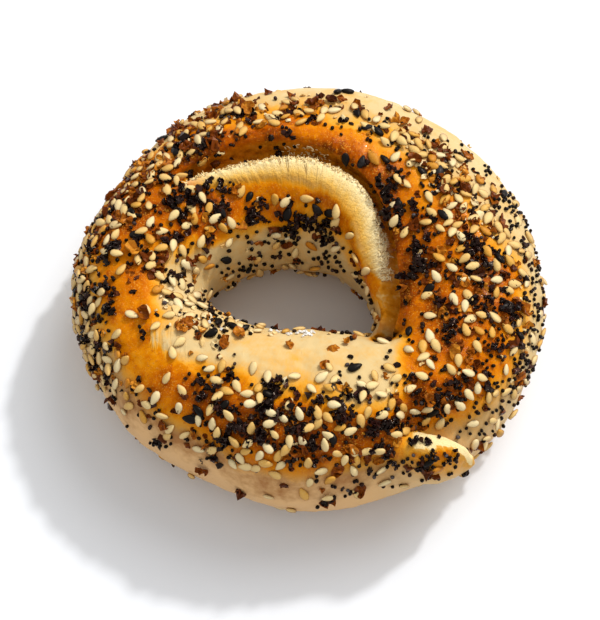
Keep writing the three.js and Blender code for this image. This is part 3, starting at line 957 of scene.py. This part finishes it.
# ----------------------------------------
# Black sesame
# The same drop shaped seed with its black hull on, strewn more thinly and
# a little larger than the white ones.
# ----------------------------------------
# degrees round the ring and round the section
BLACK_SEEDS = [
    (-145, 125), (-139, 128), (-31, 116), (-8, 111), (5.5, 65), (24, 89), (26, 38), (39.5, 74), (65, 97),
    (72, 97), (65, 77), (69, 77), (71.5, 130), (83, 129), (124, 117), (74, 67), (81.5, 45), (79, 42),
    (134, 62), (159, 69), (171, 68), (166, 82), (-151, 121), (-146, 107), (-128, 48), (-82, 61), (-66, 100),
    (-49, 57), (-58, 33), (187, 45), (105, 133), (141, 116),
]
BLACK_SEED = np.array([3.4, 2.1, 1.2])
dice = np.random.RandomState(19)
share = kept * zones(
    0.2, (10, 70, 60, 40, 0.7), (150, 70, 30, 40, 0.8), (-110, 60, 40, 30, 0.8), (190, 35, 36, 28, 1.2))
black_spots = [on_crust(*place) for place in BLACK_SEEDS] + strew(14, share, 2.4, dice, white_spots)
laid = []
for point, normal in black_spots:
    axes = tossed(normal, 0.3, 0.25)
    size = BLACK_SEED * dice.normal(1, 0.08)
    laid.append((0, axes, point + normal * 0.5 * MM, size, tint_near(0.4, 0.25)))
black_sesame = joined("black_sesame", [sesame_shape], laid)
black_hull = topping_look("black_hull", [
    (0.0, (0.004, 0.0035, 0.0035)), (0.6, (0.008, 0.007, 0.007)), (1.0, (0.035, 0.032, 0.034)),
], rim_and_shade=(0.003, 0.002, 0.002), roughness=0.3, specular=0.1, mottle_scale=1200.0, amount=0.3, height=0.0002)
finish(black_sesame, black_hull)

# ----------------------------------------
# Toasted onion
# Dried minced onion that browned: thin curled flakes, amber where thin and
# red brown where thick.
# ----------------------------------------
# large flakes: degrees round the ring and round the section, length in mm
LARGE_FLAKES = [
    (-137, 119, 5.2), (-138, 106, 4.6), (-73, 118, 5.2), (-81, 105, 3.6), (-104, 121, 3.2), (53, 54, 4.6),
    (45, 59, 4.2), (60, 61, 4), (66, 53, 3.6), (80, 55, 3.6), (94, 61, 4), (97, 58, 3.6), (20, 59, 4),
    (48, 63, 3.6), (162, 10, 5), (167, 4, 4.6), (152, 48, 5), (145, 58, 4.2), (139, 64, 4), (126, 52, 4.2),
    (118, 50, 4.2), (111, 56, 3.6), (204, 101, 5.5), (206, 96, 4), (-58, 75, 3.6), (-48, 84, 4),
    (-76, 16, 4.8), (-85, 9, 5), (-133, 20, 4.6), (109, 70, 3.6), (92, 70, 4), (131, 66, 4.5),
    (-120, 10, 4), (-56, 52, 3.4), (-70, 40, 3.6), (139, 133, 5), (186, 103, 3.2), (-92, 60, 3.6),
    (-104, 65, 3.4), (-97, 80, 3.4), (155, 58, 4.2), (103, 60, 3.6), (86, 60, 3.4), (-30, 74, 3.4),
    (12, 92, 3.4), (-4, 92, 3.4), (33, 76, 3.4), (28, 84, 3.2), (18, 74, 3.4), (176, 142, 3.6),
]
LARGE_SCALE = np.array([0.76, 0.7, 0.66])
dice = np.random.RandomState(31)
chips = [chip(k, 5, 0.4, 0.3) for k in range(8)] + [chip(k + 20, 4, 0.45, 0.4) for k in range(8)]
laid = []
for theta, turn, size in LARGE_FLAKES:
    point, normal = on_crust(theta, turn)
    axes = tossed(normal, 0.3, 0.3)
    tint = dice.uniform(0.2, 0.8) * (0.4 if turn > 92 else 1)
    laid.append((dice.randint(8), axes, point + normal * 0.3 * MM, size * LARGE_SCALE, tint))
share = kept * zones(
    0.1, (134, 50, 32, 22, 3.2), (40, 66, 30, 16, 1.2), (0, 72, 36, 30, 0.8), (-100, 60, 45, 28, 0.3),
    (90, 62, 24, 10, 1.0), (-55, 60, 20, 40, 0.6), (160, 80, 26, 40, 0.9), (-150, 112, 20, 14, 0.8),
    (0, 110, 30, 14, 0.6), (190, 40, 40, 28, 0.6))
onion_spots = strew(540, share, 1.4, dice, black_spots)
for point, normal in onion_spots:
    bulk = mostly_small(0.8, 0.36, 1.2, 3.8)
    axes = tossed(normal, 0.32, 0.32)
    tint = tint_near(0.4, 0.28)
    which = 8 + dice.randint(8)
    above = dice.uniform(0.05, 0.35)
    laid.append((which, axes, point + normal * above * MM, (bulk, bulk, bulk * 0.9), tint))
onion = joined("toasted_onion", chips, laid, smooth=False)
toasted = topping_look("toasted", [
    (0.0, (0.60, 0.24, 0.02)), (0.22, (0.36, 0.10, 0.005)),
    (0.45, (0.15, 0.03, 0.002)), (1.0, (0.03, 0.006, 0.002)),
], rim_and_shade=(0.09, 0.018, 0.002), roughness=0.3, specular=0.12, mottle_scale=1000.0, amount=0.4, height=0.0003)
finish(onion, toasted)

# the crust turns browner round the toppings where they lie thickest: partly scorch, partly painted shade
# round and under the bits
DARKENING_REACH = 1.7
darkening_bits = tree_of([point for point, _ in onion_spots + crumb_spots + clump_spots])
char_and_shade = np.zeros(len(vertex_place))
for i, point in enumerate(vertex_place):
    near = [away / MM for _, _, away in darkening_bits.find_n(point, 4)]
    char_and_shade[i] = sum(math.exp(-(away / DARKENING_REACH) ** 2) for away in near) / 2
mark(mesh, "char_and_shade", np.clip(char_and_shade, 0, 1))

# ----------------------------------------
# Poppy seeds
# Tiny kidney shaped blue black seeds, thickest on the sides and round the
# burnt onion, where they stick in clusters.
# ----------------------------------------
dice = np.random.RandomState(41)


def kidney(co):
    """A poppy seed of unit length, with a shallow notch on one side."""
    notch = 0.22 * math.exp(-(co.x / 0.2) ** 2) * max(-co.y, 0)
    return co.x * 1.08, co.y * 0.9 + notch, co.z * 0.84


poppy_shape = ball(7, 5, kidney)
share = kept * zones(
    0.14, (-25, 34, 45, 30, 2.4), (15, 48, 32, 28, 1.6), (100, 165, 90, 18, 1.5), (-50, 52, 25, 40, 1.0),
    (-165, 117, 20, 18, 1.8), (190, 34, 40, 28, 1.3), (-5, 88, 36, 25, 0.9), (150, 70, 30, 50, 0.9),
    (-105, 60, 45, 34, 0.5), (60, 62, 30, 16, 0.6), (-56, 38, 9, 20, 1.6), (-152, 122, 14, 12, 1.8))
poppy_spots = strew(900, share, 0.95, dice)
# some stuck together in the bag and fell in twos
for point, normal in poppy_spots[::3]:
    beside = np.cross(normal, dice.normal(0, 1, 3)) * 0.9 * MM
    poppy_spots.append(nearest_crust(point + beside))
for point, normal in clump_spots:
    for _ in range(4):
        poppy_spots.append(nearest_crust(point + dice.normal(0, 1.9, 3) * MM))
laid = []
for point, normal in poppy_spots:
    axes = tossed(normal, 0.6, 0.6)
    bulk = dice.normal(1.04, 0.09)
    above = dice.uniform(0.25, 0.5)
    laid.append((0, axes, point + normal * above * MM, (bulk, bulk, bulk), tint_near(0.35, 0.3)))
poppy = joined("poppy_seeds", [poppy_shape], laid)
poppy_coat = topping_look("poppy_coat", [
    (0.0, (0.004, 0.0025, 0.002)), (0.45, (0.010, 0.005, 0.004)),
    (0.8, (0.035, 0.013, 0.008)), (1.0, (0.09, 0.075, 0.075)),
], rim_and_shade=(0.005, 0.002, 0.002), roughness=0.25, specular=0.1, mottle_scale=2600.0, amount=0.2, height=0.00012)
finish(poppy, poppy_coat)

# ----------------------------------------
# Dried garlic
# Pale cream granules and thin chips, mostly by the left corner of the hole
# and on the far right of the ring.
# ----------------------------------------
dice = np.random.RandomState(53)
share = kept * zones(
    0.03, (-158, 108, 16, 14, 2.2), (40, 68, 20, 14, 1.6), (95, 66, 30, 8, 0.5), (-150, 128, 14, 10, 1.5))
granules = [crumpled(1, k + 40, 0.8) for k in range(8)]
garlic_lumps = granules + [chip(k + 70, 4, 0.3, 0.4) for k in range(4)]
laid = []
for point, normal in strew(190, share, 1.3, dice, white_spots + black_spots):
    bulk = mostly_small(0.45, 0.35, 0.9, 3.4)
    axes = tossed(normal, 0.3, 0.3)
    which = dice.randint(len(garlic_lumps))
    shape = (bulk, bulk * 0.8, bulk * (0.5 if which < len(granules) else 0.9))
    laid.append((which, axes, point + normal * 0.25 * MM, shape, tint_near(0.4, 0.25)))
garlic = joined("garlic_granules", garlic_lumps, laid, smooth=False)
garlic_chip = topping_look("garlic_chip", [
    (0.0, (0.74, 0.62, 0.38)), (0.5, (0.72, 0.54, 0.25)), (1.0, (0.66, 0.36, 0.08)),
], rim_and_shade=(0.50, 0.26, 0.06), roughness=0.5, specular=0.3, mottle_scale=900.0, amount=0.15, height=0.0001)
finish(garlic, garlic_chip)

# ----------------------------------------
# Salt
# A few coarse white crystals, small cubes with worn edges, that stuck in groups
# to the front rope at the edge of the hole.
# ----------------------------------------
# degrees round the ring and round the section
SALT_AT = [
    (-89, 141), (-84, 143), (-92, 139), (-97, 141), (-110, 140), (-125, 139), (-150, 117), (-118, 141),
    (-87, 139),
]
CRYSTALS_EACH = 4
dice = np.random.RandomState(61)
bm = bmesh.new()
bmesh.ops.create_cube(bm, size=1)
bmesh.ops.bevel(bm, geom=bm.edges[:], offset=0.16, segments=1, affect="EDGES")
crystal = shaped(bm, tuple)
laid = []
for theta, turn in SALT_AT:
    for _ in range(CRYSTALS_EACH):
        point, normal = on_crust(theta + dice.normal(0, 2.2), turn + dice.normal(0, 1.5))
        axes = facing(normal, dice.uniform(0, TAU), dice.uniform(-1, 1), dice.uniform(-1, 1))
        bulk = dice.uniform(0.3, 0.85)
        shape = (bulk, bulk * 0.8, bulk * 0.7)
        laid.append((0, axes, point + normal * bulk * 0.35 * MM, shape, dice.uniform(0, 1)))
salt = joined("salt_crystals", [crystal], laid, smooth=False)
salt_grain = topping_look("salt_grain", [
    (0.0, (0.80, 0.79, 0.76)), (1.0, (0.66, 0.63, 0.57)),
], rim_and_shade=(0.6, 0.6, 0.6), roughness=0.25, specular=0.5, mottle_scale=1500.0, amount=0.1, height=0.0001)
finish(salt, salt_grain)

# ----------------------------------------
# Stage
# A plain white table top in an even white surround, lit from the back right by
# a small bright sun and a wide soft one, with the camera above the front edge.
# ----------------------------------------
FLOOR_SIZE = 4
bpy.ops.mesh.primitive_plane_add(size=FLOOR_SIZE)
floor = bpy.context.object
floor.name = "floor"
paper = bpy.data.materials.new("paper")
paper.use_nodes = True
set_plain(paper.node_tree.nodes["Principled BSDF"], {
    "Base Color": (0.74, 0.755, 0.78, 1), "Roughness": 0.9, "Specular IOR Level": 0.1,
})
floor.data.materials.append(paper)

LAMP_HEIGHT = math.radians(44)
LAMP_TURN = math.radians(40)
to_lamp = Vector((
    math.sin(LAMP_TURN) * math.cos(LAMP_HEIGHT),
    math.cos(LAMP_TURN) * math.cos(LAMP_HEIGHT),
    math.sin(LAMP_HEIGHT),
))
# power, and how wide the sun is in degrees
for name, power, spread in (("lamp", 1.9, 4), ("softbox", 1.7, 45)):
    lamp = placed(name, bpy.data.lights.new(name, "SUN"))
    lamp.data.energy = power
    lamp.data.angle = math.radians(spread)
    lamp.rotation_euler = to_lamp.to_track_quat("Z", "Y").to_euler()
surround = bpy.data.worlds.new("surround")
bpy.context.scene.world = surround
surround.use_nodes = True
set_plain(surround.node_tree.nodes["Background"], {"Color": (1, 1, 1, 1), "Strength": 0.72})

CAMERA_TILT = math.radians(68)
CAMERA_AWAY = 0.615
CAMERA_AIM = Vector((-1.8, 0, 19))
CAMERA_DROP = 2.4
up = Vector((0, math.sin(CAMERA_TILT), math.cos(CAMERA_TILT)))
back = Vector((0, -math.cos(CAMERA_TILT), math.sin(CAMERA_TILT)))
look_at = (CAMERA_AIM + Vector(SHIFT)) * MM - up * CAMERA_DROP * MM
camera = placed("camera", bpy.data.cameras.new("camera"))
camera.data.lens = 150
camera.data.sensor_width = 36
camera.location = look_at + back * CAMERA_AWAY
camera.rotation_euler = back.to_track_quat("Z", "Y").to_euler()
bpy.context.scene.camera = camera
bpy.context.scene.view_settings.view_transform = "Standard"
